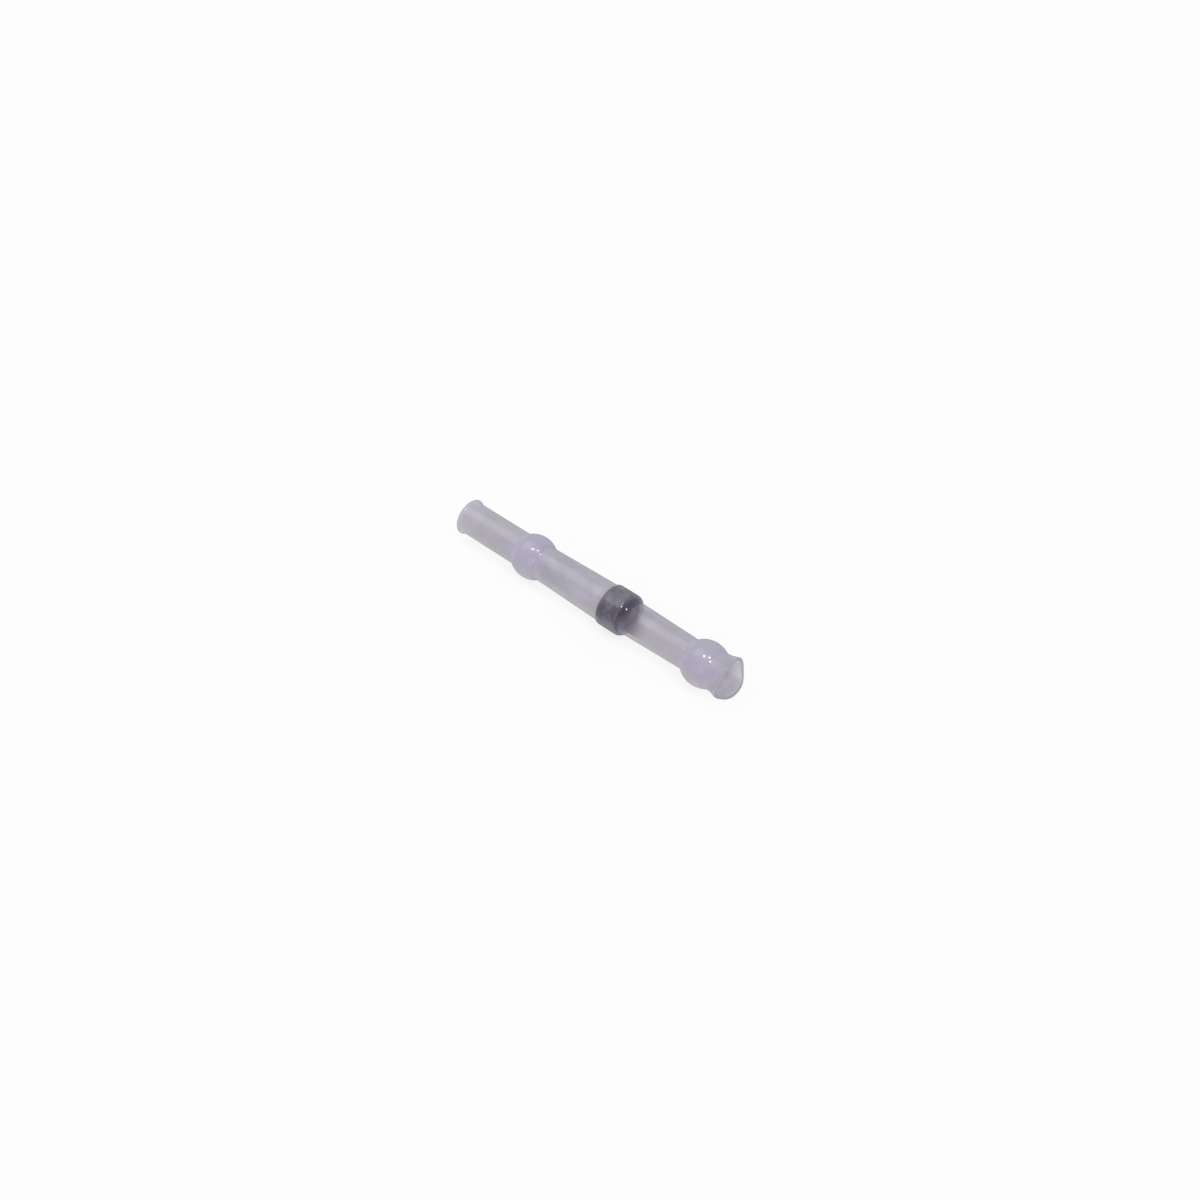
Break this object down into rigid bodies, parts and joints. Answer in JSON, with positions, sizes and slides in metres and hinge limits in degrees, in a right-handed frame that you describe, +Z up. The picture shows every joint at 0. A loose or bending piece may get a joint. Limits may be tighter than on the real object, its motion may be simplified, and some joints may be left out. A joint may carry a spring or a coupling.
{
  "type": "solder sleeve",
  "caption": "Clear heat-shrink sleeve drawn over a hot-melt seal ring near each end and a solder ring between them, with flared mouths, for splicing thin wires.",
  "frame": {"origin": "middle of the solder ring's bore, on the sleeve's axis", "axes": "+X along the sleeve towards the short end with the wide mouth, +Z up, with the sleeve lying on its two bulges"},
  "size_m": [0.026, 0.0034, 0.0033],
  "materials": {
    "shrink_tube": "clear heat-shrink tube, slightly milky and lavender-grey, soft gloss",
    "seal_melt": "milky hot-melt, waxy and translucent",
    "solder": "dull dark grey solder with a faint purple cast"
  },
  "bodies": {
    "root": {"shrink_sleeve": "shrink_tube", "left_seal_ring": "seal_melt", "right_seal_ring": "seal_melt", "solder_ring": "solder"}
  },
  "joints": []
}
